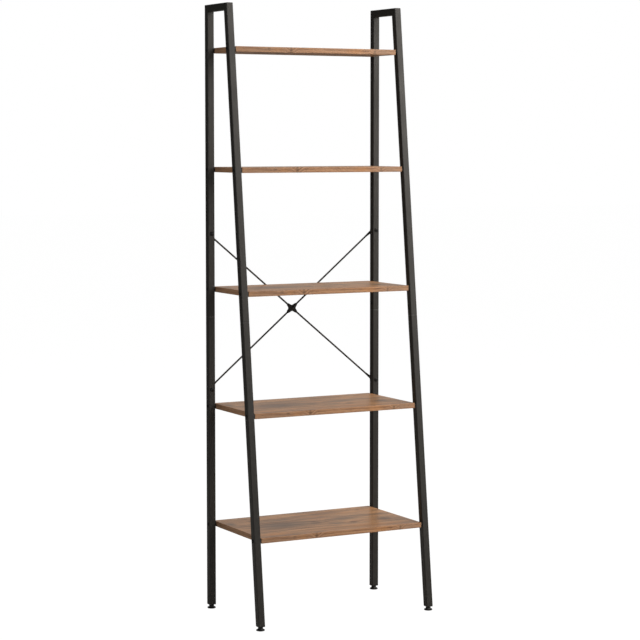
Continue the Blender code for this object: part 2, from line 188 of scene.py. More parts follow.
# matt paper, evenly pale: where it is looked at it glows up to white, and keeps a hint of shadow
def makeFloor(scene):
    half = studio["floorSize"] / 2
    mesh = bpy.data.meshes.new("floor")
    mesh.from_pydata([(-half, -half, 0), (half, -half, 0), (half, half, 0), (-half, half, 0)],
                     [], [(0, 1, 2, 3)])
    floor = bpy.data.objects.new("floor", mesh)
    scene.collection.objects.link(floor)
    paper, tree, shader = newMaterial("palePaperFloor", Roughness=0.9, Specular_IOR_Level=0.0,
                                      Emission_Color=(1.0, 1.0, 1.0, 1.0))
    looked = addNode(tree, "ShaderNodeLightPath").outputs["Is Camera Ray"]
    tone = mixColours(tree, looked, studio["floorColour"], studio["floorSeen"])
    tree.links.new(tone, shader.inputs["Base Color"])
    tree.links.new(maths(tree, "MULTIPLY", looked, studio["floorGlow"]),
                   shader.inputs["Emission Strength"])
    mesh.materials.append(paper)


def makeLights(scene):
    aim = Vector(studio["aim"])
    for name, (azimuth, elevation, distance, size, power, tint) in studio["softboxes"].items():
        turnBy, rise = math.radians(azimuth), math.radians(elevation)
        light = bpy.data.lights.new(name, "AREA")
        light.shape = "RECTANGLE"
        light.size, light.size_y = size
        light.energy = power
        light.color = linearColour(tint)[:3]
        lamp = bpy.data.objects.new(name, light)
        lamp.location = aim + distance * Vector((math.sin(turnBy) * math.cos(rise),
                                                 -math.cos(turnBy) * math.cos(rise), math.sin(rise)))
        lamp.rotation_euler = (aim - lamp.location).to_track_quat("-Z", "Y").to_euler()
        lamp.visible_camera = False
        scene.collection.objects.link(lamp)


stage = bpy.context.scene
stage.view_settings.view_transform = "Standard"
makeCamera(stage)
makeRoom(stage)
makeFloor(stage)
makeLights(stage)
print("studio ready")


# where things are, read from the frame
def middleOf(node):
    low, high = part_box(node)
    return (low + high) / 2


sides = {"left": -1, "right": 1}
legs = ("back", "front")
levels = ("lower", "upper")
boardCount = sum(name.startswith("shelf_board_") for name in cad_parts)
backLow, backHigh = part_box("lower_back_leg_left")
tubeSize = backHigh.x - backLow.x
legEnd = backLow.z
seamHeight = (backHigh.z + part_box("upper_back_leg_left")[0].z) / 2
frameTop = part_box("top_bar_left")[1].z
rearFace = backHigh.y
lowScrew, highScrew = middleOf("shelf_screw_1_front_left"), middleOf(f"shelf_screw_{boardCount}_front_left")
lean = math.atan2(highScrew.y - lowScrew.y, highScrew.z - lowScrew.z)   # of the front legs


# a leg's axis: a point at a height, and its direction upwards
def legAxis(leg, side, height):
    x = middleOf(f"lower_{leg}_leg_{side}").x
    if leg == "back":
        return Vector((x, rearFace - tubeSize / 2, height)), Vector((0, 0, 1))
    y = lowScrew.y + math.tan(lean) * (height - lowScrew.z)
    return Vector((x, y, height)), Vector((0, math.sin(lean), math.cos(lean)))


# mitre plane between a leg and the top bar: a point on it, and its normal towards the leg
def mitrePlane(leg):
    middle, _ = legAxis(leg, "left", frameTop)
    reach = tubeSize / 2 if leg == "back" else -tubeSize / 2 / math.cos(lean)
    outer = Vector((0, middle.y + reach, frameTop))
    inner = Vector((0, middle.y - reach - math.tan(lean if leg == "front" else 0) * tubeSize,
                    frameTop - tubeSize))
    normal = (inner - outer).cross(Vector((1, 0, 0))).normalized()
    return outer, normal if normal.z < 0 else -normal


powderCoat = {
    "colour": "#2b2926", "patchColour": "#24221f", "speckColour": "#34312d",
    "roughness": 0.46, "gloss": 0.42,
    "grit": 0.9, "speckPitch": 1.6,   # millimetres
    "reliefDepth": 0.035,
}


# polyester powder coat, sprayed and baked: satin near-black with a warm cast and a fine leathery relief
def powderCoatedSteel():
    v = powderCoat
    material, tree, shader = newMaterial("powderCoatedSteelSatinBlack", Specular_IOR_Level=v["gloss"])
    spot = ownPlace(tree)
    drift = noise(tree, spot, 9.0, 3.0)   # the coat's thickness drifts over a hand's width
    relief = noise(tree, spot, 1 / (v["grit"] * millimetre), 2.0, 0.55)
    specks = addNode(tree, "ShaderNodeTexVoronoi",
                     {"Vector": spot, "Scale": 1 / (v["speckPitch"] * millimetre)}).outputs["Distance"]
    patches = mixColours(tree, drift, v["colour"], v["patchColour"])
    colour = mixColours(tree, remap(tree, specks, 0.05, 0.45, 0.5, 0.0), patches, v["speckColour"])
    dress(tree, shader, colour, roughFrom(tree, drift, v, 0.05, 0.06), relief, 0.55, v["reliefDepth"])
    return material


fastenerFinish = {"colour": "#0d0c0d", "wornColour": "#2c2a29", "roughness": 0.5, "reliefDepth": 0.02}


# carbon steel, blackened in hot oxide and oiled: near-black, with greyer steel where a key has rubbed
def blackenedSteel():
    v = fastenerFinish
    material, tree, shader = newMaterial("hotBlackenedCarbonSteel", Metallic=0.3)
    spot = ownPlace(tree)
    edges = addNode(tree, "ShaderNodeNewGeometry").outputs["Pointiness"]
    mottle = noise(tree, spot, 900.0, 3.0)
    rubbed = maths(tree, "MULTIPLY", remap(tree, edges, 0.52, 0.60, 0.0, 0.6), mottle)
    dress(tree, shader, mixColours(tree, rubbed, v["colour"], v["wornColour"]),
          roughFrom(tree, mottle, v, 0.08, 0.10), mottle, 0.3, v["reliefDepth"])
    return material


castFinish = {"colour": "#0c0c0b", "duskColour": "#181715", "roughness": 0.55, "sandGrain": 0.7,
              "reliefDepth": 0.06}


# zinc alloy die casting, painted black: slightly pitted skin, darker than the rods
def paintedCasting():
    v = castFinish
    material, tree, shader = newMaterial("paintedZincCasting", Specular_IOR_Level=0.45)
    spot = ownPlace(tree)
    skin = noise(tree, spot, 1 / (v["sandGrain"] * millimetre), 4.0)
    dress(tree, shader, mixColours(tree, skin, v["colour"], v["duskColour"]),
          roughFrom(tree, skin, v, 0.07, 0.08), skin, 0.5, v["reliefDepth"])
    return material


plasticFinish = {"colour": "#0e0e0e", "scuffColour": "#2c2b29", "roughness": 0.5, "sparkPitch": 0.5,
                 "reliefDepth": 0.03}


# polyamide, injection moulded in a spark-eroded tool: deep black, fine matt grain, greyer scuffs
def mouldedPolyamide():
    v = plasticFinish
    material, tree, shader = newMaterial("mouldedPolyamideBlack", IOR=1.53)
    spot = ownPlace(tree)
    grain = noise(tree, spot, 1 / (v["sparkPitch"] * millimetre), 2.0)
    scuffs = noise(tree, spot, 160.0, 5.0, 0.7)
    scuffShare = remap(tree, scuffs, 0.56, 0.72, 0.0, 0.35)
    dress(tree, shader, mixColours(tree, scuffShare, v["colour"], v["scuffColour"]),
          roughFrom(tree, scuffs, v, 0.0, 0.18, 0.4), grain, 0.4, v["reliefDepth"])
    return material


zincFinish = {"colour": "#b9bcc0", "dullColour": "#8f9296", "roughness": 0.34}


# electro-galvanised steel tube: pale grey, drawn lines along its length
def zincPlatedSteel():
    v = zincFinish
    material, tree, shader = newMaterial("zincPlatedSteelTube", Metallic=1.0)
    spot = ownPlace(tree)
    lines = noise(tree, stretched(tree, spot, (1600.0, 1600.0, 12.0)), 1.0, 3.0)
    dress(tree, shader, mixColours(tree, lines, v["colour"], v["dullColour"]),
          roughFrom(tree, lines, v, 0.08, 0.10, 0.0, 1.0))
    return material


# the print on a board is laid out in metres: x along the grain from the board's middle,
# y across it, from the front edge (0) to the back of the deepest board
boardPrintWithPaintedTopLight = {
    # pale, mid and dark are the banding's colours made about 1.3 times as bright: painted light, standing in
    # for the light that falls on the boards' faces from above
    "paleColour": "#e5b686", "midColour": "#c39066", "darkColour": "#80563c",
    "greyColour": "#6b5c50", "amberColour": "#d08c48", "inkColour": "#35261c",
    "grainWidth": 2.6, "grainLength": 240.0, "toneRange": (0.39, 0.59),
    "weathering": 0.84, "warp": 16.0, "knotStrength": 0.62, "markStrength": 0.5,
    "roughness": 0.32, "poreDepth": 0.012, "gloss": 0.45,
    # grey, weathered stretches, then amber ones: middle x, middle y, half length, half width
    "greyStains": ((-0.115, 0.145, 0.160, 0.068), (0.090, 0.160, 0.075, 0.032),
                   (0.195, 0.105, 0.035, 0.030), (-0.240, 0.225, 0.020, 0.040),
                   (-0.065, 0.018, 0.026, 0.008), (0.035, 0.100, 0.036, 0.016)),
    "amberStains": ((0.222, 0.270, 0.060, 0.032), (0.060, 0.040, 0.150, 0.028),
                    (0.080, 0.245, 0.120, 0.034), (-0.190, 0.035, 0.050, 0.026)),
    # knots: x, y, half length, half width
    "knots": ((-0.015, 0.132, 0.016, 0.012), (0.088, 0.097, 0.015, 0.011),
              (-0.170, 0.245, 0.011, 0.008), (0.190, 0.262, 0.010, 0.006)),
}

# the banding round a board's edge is a strip of its own print: x along the strip, y up it from its foot
bandPrint = {
    "paleColour": "#cb9e79", "midColour": "#ae815d", "darkColour": "#6e4b39",
    "greyColour": "#84746a", "amberColour": "#c4874d", "inkColour": "#35261c",
    "grainWidth": 1.7, "grainLength": 120.0, "toneRange": (0.33, 0.66),
    "weathering": 0.42, "warp": 5.0, "knotStrength": 0.5, "markStrength": 0.45,
    "roughness": 0.45, "poreDepth": 0.012, "gloss": 0.30,
    "greyStains": ((0.215, 0.008, 0.050, 0.012), (-0.200, 0.003, 0.060, 0.006)),
    "amberStains": ((-0.125, 0.009, 0.026, 0.006), (0.120, 0.008, 0.030, 0.008)),
    "knots": ((-0.083, 0.007, 0.0055, 0.012), (0.186, 0.006, 0.004, 0.008),
              (-0.152, 0.010, 0.007, 0.0026)),
}


# melamine paper printed as rustic oak and pressed on chipboard: warm brown, greyed stretches, knots,
# pores pressed into a satin skin that mirrors the room at a low angle
def printedMelamine(name, v):
    material, tree, shader = newMaterial(name, Specular_IOR_Level=v["gloss"])
    lay = addNode(tree, "ShaderNodeUVMap", uv_map="printLay").outputs[0]
    flat = addNode(tree, "ShaderNodeSeparateXYZ", {0: lay})
    perLength, perWidth = 1000 / v["grainLength"], 1000 / v["grainWidth"]

    def grainNoise(place, along, across, detail, roughness=0.5):
        return noise(tree, stretched(tree, place, (along, across, 1.0)), 1.0, detail, roughness)

    # place measured from a spot's middle in its half sizes, and how far out that is
    def around(x, y, halfLength, halfWidth):
        local = stretched(tree, lay, (1 / halfLength, 1 / halfWidth, 1.0),
                          (-x / halfLength, -y / halfWidth, 0.0))
        return local, lengthOf(tree, local)

    # the grain wavers, a hand long and a finger wide, and flows round each knot: a dark heart in a halo
    push = maths(tree, "MULTIPLY", grainNoise(lay, 7.0, 26.0, 2.0), v["warp"] * millimetre)
    knotDark = 0.0
    for knot in v["knots"]:
        local, far = around(*knot)
        ragged = maths(tree, "ADD", far, noise(tree, local, 1.6, 3.0))
        push = maths(tree, "ADD", push, remap(tree, far, 0.0, 4.5, knot[3], 0.0, **smooth))
        knotDark = maths(tree, "MAXIMUM", knotDark, remap(tree, ragged, 0.7, 1.9, 1.0, 0.0, **smooth))
    bent = addNode(tree, "ShaderNodeCombineXYZ", {
        0: flat.outputs["X"], 1: maths(tree, "ADD", flat.outputs["Y"], push)}).outputs[0]

    # streaks a hand long with finer fibres inside them, and growth rings drawn out along the board
    streaks = grainNoise(bent, perLength, perWidth / 4, 5.0, 0.62)
    fibres = grainNoise(bent, perLength * 5, perWidth, 4.0, 0.7)
    rings = addNode(tree, "ShaderNodeTexWave", {
        "Vector": stretched(tree, bent, (1.6, 34.0, 1.0)), "Scale": 1.0, "Distortion": 3.4,
        "Detail": 2.0, "Detail Scale": 0.8}, bands_direction="Y", wave_profile="SAW").outputs["Fac"]
    grain = mixValues(tree, 0.32, streaks, fibres)
    wood = addNode(tree, "ShaderNodeValToRGB", {0: mixValues(tree, 0.18, grain, rings)})
    ramp = wood.color_ramp
    for element, tone, shade in zip(ramp.elements, v["toneRange"], ("dark", "pale")):
        element.position, element.color = tone, linearColour(v[shade + "Colour"])
    ramp.elements.new(0.48).color = linearColour(v["midColour"])

    # how much of a placed stretch shows: all of it at its middle, none past its ragged rim
    def stretch(stain, strength):
        uneven = maths(tree, "ADD", around(*stain)[1], streaks)
        return remap(tree, uneven, 0.5, 1.8, strength, 0.0, **smooth)

    # weathered grey comes in patches by chance and in the placed stretches
    amberShare = 0.0
    for stain in v["amberStains"]:
        amberShare = maths(tree, "MAXIMUM", amberShare, stretch(stain, 0.5))
    greyShare = remap(tree, grainNoise(bent, 5.0, 30.0, 4.0, 0.6), 0.42, 0.72, 0.05, v["weathering"])
    for stain in v["greyStains"]:
        greyShare = maths(tree, "MAXIMUM", greyShare, stretch(stain, v["weathering"]))
    greyed = mixColours(tree, greyShare, mixColours(tree, amberShare, wood.outputs[0], v["amberColour"]),
                        v["greyColour"])

    # open pores and drying checks: short dark dashes along the grain
    pores = grainNoise(bent, perLength * 9, perWidth * 1.1, 2.0)
    checks = grainNoise(bent, perLength * 2.5, perWidth / 3, 6.0, 0.55)
    marks = maths(tree, "MAXIMUM", remap(tree, pores, 0.60, 0.70, 0.0, 0.75),
                  remap(tree, checks, 0.64, 0.70, 0.0, 0.8))
    darkShare = maths(tree, "MAXIMUM", maths(tree, "MULTIPLY", marks, v["markStrength"]),
                      maths(tree, "MULTIPLY", knotDark, v["knotStrength"]))
    dress(tree, shader, mixColours(tree, darkShare, greyed, v["inkColour"]),
          roughFrom(tree, grain, v, -0.07, -0.03), maths(tree, "SUBTRACT", grain, marks),
          0.5, v["poreDepth"])
    return material


coat = powderCoatedSteel()
blackSteel = blackenedSteel()
casting = paintedCasting()
polyamide = mouldedPolyamide()
zinc = zincPlatedSteel()
# the panel's print is a lighter copy of the banding's, with painted top light in its pale, mid and dark
# colours
boardFace = printedMelamine("printedMelamineRusticOakPaintedTopLight", boardPrintWithPaintedTopLight)
boardBand = printedMelamine("printedEdgeBandRusticOak", bandPrint)
print("materials ready")


def toObject(name, bm, material, sharpAngle=30.0):
    mesh = bpy.data.meshes.new(name)
    bm.to_mesh(mesh)
    bm.free()
    mesh.materials.append(material)
    mesh.shade_smooth()
    mesh.set_sharp_from_angle(angle=math.radians(sharpAngle))
    piece = bpy.data.objects.new(name, mesh)
    stage.collection.objects.link(piece)
    return piece


# the piece with its modifiers worked in, as a plain mesh with its own name and no modifiers
def plain(piece, sharpAngle):
    bpy.context.view_layer.update()
    mesh = bpy.data.meshes.new_from_object(piece.evaluated_get(bpy.context.evaluated_depsgraph_get()))
    piece.modifiers.clear()
    piece.data = mesh
    mesh.name = piece.name
    mesh.shade_smooth()
    mesh.set_sharp_from_angle(angle=math.radians(sharpAngle))
    return piece


def attach(piece, body, slot, *nodes):
    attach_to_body(piece, body)
    if nodes:
        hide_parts(*nodes)
    return piece


# a quarter turn in four steps, from 0 degrees
quarter = [math.radians(22.5 * k) for k in range(5)]


def circleAngles(count):
    return [2 * math.pi * i / count for i in range(count)]


flatMargin = 0.25 * millimetre   # stretch beside a rounding that keeps the flat beyond it flat


# closed square outline with round corners
def roundedSquare(width, depth, radius):
    points, steps = [], 5
    for corner in range(4):
        middle = Vector(((1, -1, -1, 1)[corner] * (width / 2 - radius),
                         (1, 1, -1, -1)[corner] * (depth / 2 - radius)))
        turns = [(corner + step / steps) * math.pi / 2 for step in range(steps + 1)]
        arc = [middle + radius * Vector((math.cos(a), math.sin(a))) for a in turns]
        before = Vector((math.sin(turns[0]), -math.cos(turns[0])))
        after = Vector((-math.sin(turns[-1]), math.cos(turns[-1])))
        points += [arc[0] + before * flatMargin, *arc, arc[-1] + after * flatMargin]
    return points


# joins rings of points into one closed skin: the last joins the first, or both are capped
def loft(bm, rings, closedRound=True):
    made = [[bm.verts.new(point) for point in ring] for ring in rings]
    for one, other in zip(made, made[1:] + made[:1] if closedRound else made[1:]):
        for i in range(len(one)):
            j = (i + 1) % len(one)
            bm.faces.new((one[i], one[j], other[j], other[i]))
    if not closedRound:
        bm.faces.new(made[0])
        bm.faces.new(made[-1])
    bmesh.ops.recalc_face_normals(bm, faces=bm.faces)


def onPlane(start, direction, planePoint, planeNormal):
    return start + direction * ((planePoint - start).dot(planeNormal) / direction.dot(planeNormal))


tubing = {
    "wall": 1.2 * millimetre,
    "cornerRadius": 2.0 * millimetre,
    "cutEdge": 0.35 * millimetre,     # rounding that tumbling leaves on a sawn end
    "seamGap": 0.3 * millimetre,
    "beadRadius": 0.7 * millimetre,   # weld at the mitres, dressed nearly flush
    "beadRipple": 0.9 * millimetre,
}


# hollow square tube from plane to plane, its ends sawn and slightly rounded
def makeTube(node, middle, along, upwards, ends):
    v = tubing
    outer = roundedSquare(tubeSize, tubeSize, v["cornerRadius"])
    bore = tubeSize - 2 * v["wall"]
    inner = roundedSquare(bore, bore, v["cornerRadius"] - v["wall"])
    edge = v["cutEdge"]
    shy = edge / tubeSize * 2

    def ring(outline, end, inset, shrink):
        point, normal = end
        return [onPlane(middle + Vector((1, 0, 0)) * p.x * (1 - shrink) + upwards * p.y * (1 - shrink),
                        along, point + normal * inset, normal) for p in outline]

    low, high = ends
    rings = []
    for end in (low, high):
        # the ring three edges in keeps the faces beside the rounding flat
        outside = [ring(outer, end, edge * 3, 0.0), ring(outer, end, edge, 0.0),
                   ring(outer, end, edge * 0.3, shy * 0.3), ring(outer, end, 0.0, shy)]
        inside = [ring(inner, end, 0.0, 0.0)]
        rings += inside + outside[::-1] if end is low else outside + inside
    bm = bmesh.new()
    loft(bm, rings)
    tube = toObject("tube_" + node.replace("_leg_", "_"), bm, coat)
    attach(tube, "frame", "powder_coat", node)


def makeSideFrames():
    gap = tubing["seamGap"] / 2
    (frontPoint, toFront), (backPoint, toBack) = mitrePlane("front"), mitrePlane("back")
    for side in sides:
        for leg in legs:
            foot, along = legAxis(leg, side, legEnd)
            seam, _ = legAxis(leg, side, seamHeight)
            upwards = along.cross(Vector((1, 0, 0)))
            mitrePoint, toLeg = mitrePlane(leg)
            makeTube(f"lower_{leg}_leg_{side}", seam, along, upwards,
                     ((foot, Vector((0, 0, 1))), (seam - along * gap, -along)))
            makeTube(f"upper_{leg}_leg_{side}", seam, along, upwards,
                     ((seam + along * gap, along), (mitrePoint, toLeg)))
        bar = middleOf(f"top_bar_{side}")
        bar.z = frameTop - tubeSize / 2
        makeTube(f"top_bar_{side}", bar, Vector((0, 1, 0)), Vector((0, 0, 1)),
                 ((frontPoint, -toFront), (backPoint, -toBack)))
    for name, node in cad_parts.items():
        if name.startswith("joint_sleeve"):
            node.data.materials.clear()
            node.data.materials.append(zinc)
    print("side frames ready")


def newNodeGroup(name, inputs):
    tree = bpy.data.node_groups.new(name, "GeometryNodeTree")
    tree.interface.new_socket("Geometry", in_out="OUTPUT", socket_type="NodeSocketGeometry")
    tree.interface.new_socket("Geometry", in_out="INPUT", socket_type="NodeSocketGeometry")
    for label, kind in {**inputs, "Material": "Material"}.items():
        tree.interface.new_socket(label, in_out="INPUT", socket_type="NodeSocket" + kind)
    return tree, tree.nodes.new("NodeGroupInput").outputs


# ends a tree: its copies made real, in the material it was given
def closeTree(tree, given, geometry):
    real = addNode(tree, "GeometryNodeRealizeInstances", {"Geometry": geometry})
    clad = addNode(tree, "GeometryNodeSetMaterial", {
        "Geometry": real.outputs[0], "Material": given["Material"]})
    addNode(tree, "NodeGroupOutput", {0: clad.outputs[0]})
    return tree


def moved(tree, geometry, height):
    rise = addNode(tree, "ShaderNodeCombineXYZ", {"Z": height}).outputs[0]
    return addNode(tree, "GeometryNodeTransform", {"Geometry": geometry, "Translation": rise}).outputs[0]


def joined(tree, *parts):
    whole = addNode(tree, "GeometryNodeJoinGeometry")
    for part in parts:
        tree.links.new(part, whole.inputs[0])
    return whole.outputs[0]


# rotation that turns Z to the facing stored on each point
def facingRotation(tree):
    facing = addNode(tree, "GeometryNodeInputNamedAttribute", {"Name": "facing"},
                     data_type="FLOAT_VECTOR").outputs[0]
    return addNode(tree, "FunctionNodeAlignRotationToVector", {"Vector": facing}, axis="Z").outputs[0]


def onPoints(tree, given, instance, rotation):
    return addNode(tree, "GeometryNodeInstanceOnPoints", {
        "Points": given["Geometry"], "Instance": instance, "Rotation": rotation}).outputs[0]


# runs a tree on an object: inputs are set by identifier, then the result becomes a plain mesh
def grow(piece, tree, values, sharpAngle):
    modifier = piece.modifiers.new(tree.name, "NODES")
    modifier.node_group = tree
    named = {item.name: item.identifier for item in tree.interface.items_tree if item.in_out == "INPUT"}
    for label, value in {**values, "Material": piece.data.materials[0]}.items():
        modifier[named[label]] = value
    return plain(piece, sharpAngle)


# a bead of weld along a closed outline, with the ripples of a hand-held torch
def weldBeadTree():
    tree, given = newNodeGroup("weldBead", {"Bead Radius": "Float", "Ripple Pitch": "Float"})
    path = addNode(tree, "GeometryNodeMeshToCurve", {"Mesh": given["Geometry"]})
    step = maths(tree, "DIVIDE", given["Ripple Pitch"], 4.0)
    fine = addNode(tree, "GeometryNodeResampleCurve", {"Curve": path.outputs[0], "Length": step},
                   mode="LENGTH")
    travelled = addNode(tree, "GeometryNodeSplineParameter").outputs["Length"]
    turns = maths(tree, "DIVIDE", travelled, given["Ripple Pitch"])
    wave = maths(tree, "SINE", maths(tree, "MULTIPLY", turns, 2 * math.pi))
    swell = remap(tree, wave, -1.0, 1.0, 0.88, 1.0)
    thick = addNode(tree, "GeometryNodeSetCurveRadius", {"Curve": fine.outputs[0], "Radius": swell})
    section = addNode(tree, "GeometryNodeCurvePrimitiveCircle", {
        "Resolution": 10, "Radius": given["Bead Radius"]})
    bead = addNode(tree, "GeometryNodeCurveToMesh", {
        "Curve": thick.outputs[0], "Profile Curve": section.outputs[0], "Scale": swell})
    return closeTree(tree, given, bead.outputs[0])


def makeWelds():
    v = tubing
    bm = bmesh.new()
    size = tubeSize - 1.8 * v["beadRadius"]   # the bead lies nearly sunk in the tube's faces
    outline = roundedSquare(size, size, v["cornerRadius"])
    for side in sides:
        for leg in legs:
            point, normal = mitrePlane(leg)
            middle, along = legAxis(leg, side, frameTop)
            upwards = along.cross(Vector((1, 0, 0)))
            ring = [bm.verts.new(onPlane(middle + Vector((p.x, 0, 0)) + upwards * p.y, along, point, normal))
                    for p in outline]
            for i in range(len(ring)):
                bm.edges.new((ring[i], ring[(i + 1) % len(ring)]))
    welds = toObject("mitre_welds", bm, coat)
    grow(welds, weldBeadTree(), {"Bead Radius": v["beadRadius"], "Ripple Pitch": v["beadRipple"]}, 60.0)
    attach(welds, "frame", "powder_coat")
    print("welds ready")


# millimetres
fastener = {
    "shelf": {"head": 10.0, "height": 2.4, "shank": 4.8, "length": 56.0, "key": 4.0},
    "joint": {"head": 9.0, "height": 1.8, "shank": 5.0, "length": 9.0, "key": 3.2},
    "brace": {"head": 12.0, "height": 3.4, "shank": 6.0, "length": 26.8, "key": 4.0},
    "seat": 0.05,   # clearance under a head
    "seed": 7,
}
spacer = {"outer": 14.0, "bore": 5.6, "thickness": 2.5, "edge": 0.3}


# button heads with a hexagon socket, one at each point, turned at random about its own axis
def buttonHeadTree():
    tree, given = newNodeGroup("buttonHeads", {
        "Head Diameter": "Float", "Head Height": "Float", "Key Size": "Float",
        "Shank Diameter": "Float", "Shank Length": "Float", "Seed": "Int"})
    height, length = given["Head Height"], given["Shank Length"]
    radius = maths(tree, "MULTIPLY", given["Head Diameter"], 0.5)
    drum = addNode(tree, "GeometryNodeMeshCylinder", {
        "Vertices": 36, "Side Segments": 2, "Fill Segments": 6, "Radius": radius, "Depth": height},
        fill_type="TRIANGLE_FAN")
    seated = moved(tree, drum.outputs["Mesh"], maths(tree, "MULTIPLY", height, 0.5))
    # the top bulges: it falls by 70% of the head's height from its middle to its rim
    place = addNode(tree, "GeometryNodeInputPosition").outputs[0]
    rise = addNode(tree, "ShaderNodeSeparateXYZ", {0: place}).outputs["Z"]
    level = addNode(tree, "ShaderNodeVectorMath", {0: place, 1: (1.0, 1.0, 0.0)}, operation="MULTIPLY")
    out = maths(tree, "DIVIDE", lengthOf(tree, level.outputs[0]), radius)
    fall = maths(tree, "MULTIPLY", maths(tree, "POWER", out, 2.6), -0.7)
    drop = addNode(tree, "ShaderNodeCombineXYZ", {"Z": maths(tree, "MULTIPLY", fall, rise)})
    domed = addNode(tree, "GeometryNodeSetPosition", {"Geometry": seated, "Offset": drop.outputs[0]})
    keyTool = addNode(tree, "GeometryNodeMeshCylinder", {
        "Vertices": 6, "Radius": maths(tree, "DIVIDE", given["Key Size"], math.sqrt(3)),
        "Depth": maths(tree, "MULTIPLY", height, 1.2)})
    head = addNode(tree, "GeometryNodeMeshBoolean", {
        "Mesh 1": domed.outputs[0], "Mesh 2": moved(tree, keyTool.outputs["Mesh"], height)},
        operation="DIFFERENCE", solver="EXACT")
    shank = addNode(tree, "GeometryNodeMeshCylinder", {
        "Vertices": 20, "Radius": maths(tree, "MULTIPLY", given["Shank Diameter"], 0.5),
        "Depth": length})
    hung = moved(tree, shank.outputs["Mesh"], maths(tree, "MULTIPLY", length, -0.5))
    chance = addNode(tree, "FunctionNodeRandomValue", {3: math.tau / 6, "Seed": given["Seed"]},
                     data_type="FLOAT")
    spin = addNode(tree, "FunctionNodeAxisAngleToRotation", {
        "Axis": (0.0, 0.0, 1.0), "Angle": chance.outputs[1]})
    aimed = addNode(tree, "FunctionNodeRotateRotation", {
        "Rotation": facingRotation(tree), "Rotate By": spin.outputs[0]}, rotation_space="LOCAL")
    screw = joined(tree, head.outputs["Mesh"], hung)
    return closeTree(tree, given, onPoints(tree, given, screw, aimed.outputs[0]))


# flat rings, one at each point, square to its facing
def spacerTree():
    tree, given = newNodeGroup("boardSpacers", {
        "Outer Diameter": "Float", "Bore": "Float", "Thickness": "Float"})
    spread = maths(tree, "SUBTRACT", given["Outer Diameter"], given["Bore"])
    total = maths(tree, "ADD", given["Outer Diameter"], given["Bore"])
    middle = addNode(tree, "GeometryNodeCurvePrimitiveCircle", {
        "Resolution": 40, "Radius": maths(tree, "MULTIPLY", total, 0.25)})
    section = addNode(tree, "GeometryNodeCurvePrimitiveQuadrilateral", {
        "Width": maths(tree, "MULTIPLY", spread, 0.5), "Height": given["Thickness"]})
    filleted = addNode(tree, "GeometryNodeFilletCurve", {
        "Curve": section.outputs[0], "Radius": spacer["edge"] * millimetre, "Count": 2}, mode="POLY")
    ring = addNode(tree, "GeometryNodeCurveToMesh", {
        "Curve": middle.outputs[0], "Profile Curve": filleted.outputs[0]})
    return closeTree(tree, given, onPoints(tree, given, ring.outputs[0], facingRotation(tree)))


# points with the direction that each one faces
def seatObject(name, seats, material):
    bm = bmesh.new()
    facing = bm.verts.layers.float_vector.new("facing")
    for place, direction in seats:
        bm.verts.new(place)[facing] = direction
    return toObject(name, bm, material)


def makeFasteners():
    tree = buttonHeadTree()
    seats = {"shelf": {}, "joint": {}, "brace": {}}   # node: place and facing
    spacerSeats = []
    reach = tubeSize / 2 + fastener["seat"] * millimetre
    for side, sign in sides.items():
        outwards = Vector((sign, 0, 0))
        for leg in legs:
            legX = middleOf(f"lower_{leg}_leg_{side}").x
            for number in range(1, boardCount + 1):
                node = f"shelf_screw_{number}_{leg}_{side}"
                middle = middleOf(node)
                inner = legX - sign * tubeSize / 2
                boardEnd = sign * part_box(f"shelf_board_{number}")[1].x
                spacerSeats.append((Vector(((inner + boardEnd) / 2, middle.y, middle.z)), outwards))
                middle.x = legX + sign * reach
                seats["shelf"][node] = middle, outwards
            node = f"joint_screw_{leg}_{side}"
            middle = middleOf(node)
            middle.x = legX - sign * reach
            seats["joint"][node] = middle, -outwards
        for level in levels:
            node = f"brace_bolt_{level}_{side}"
            middle = middleOf(node)
            middle.y = rearFace - tubeSize / 2 - reach
            seats["brace"][node] = middle, Vector((0, -1, 0))
    for kind, seated in seats.items():
        v = fastener[kind]
        screws = seatObject(f"{kind}_screw_set", seated.values(), blackSteel)
        grow(screws, tree, {
            "Head Diameter": v["head"] * millimetre, "Head Height": v["height"] * millimetre,
            "Key Size": v["key"] * millimetre, "Shank Diameter": v["shank"] * millimetre,
            "Shank Length": v["length"] * millimetre, "Seed": fastener["seed"]}, 32.0)
        attach(screws, "frame", "black_fastener", *seated)
    rings = seatObject("board_spacers", spacerSeats, polyamide)
    grow(rings, spacerTree(), {
        "Outer Diameter": spacer["outer"] * millimetre, "Bore": spacer["bore"] * millimetre,
        "Thickness": spacer["thickness"] * millimetre}, 40.0)
    attach(rings, "frame", "black_plastic")
    print("fasteners ready")


board = {
    "band": 1.0 * millimetre,          # thickness of the edge banding
    "cornerRadius": 1.0 * millimetre,
    "arris": 0.6 * millimetre,         # rounding of the banding's edges
    "faceChamfer": 0.08 * millimetre,
}


# lays the print on a mesh: x along the grain, y across it, stretched so that each board shows all of it
def layPrint(bm, low, high, onBand):
    uv = bm.loops.layers.uv.new("printLay")
    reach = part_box("shelf_board_1")
    deepest = reach[1].y - reach[0].y
    stretch = deepest / (high.y - low.y)
    for face in bm.faces:
        n = face.normal
        for loop in face.loops:
            p = loop.vert.co
            across = (p.y - low.y) * stretch
            if not onBand or abs(n.z) > 0.7:
                loop[uv].uv = (p.x, across if n.z > 0 or onBand else deepest - across)
            elif abs(n.x) > abs(n.y):
                loop[uv].uv = (p.y * (1 if n.x < 0 else -1) + 0.35 * n.x, p.z - low.z)
            else:
                loop[uv].uv = (p.x if n.y < 0 else -p.x + 0.04, p.z - low.z)


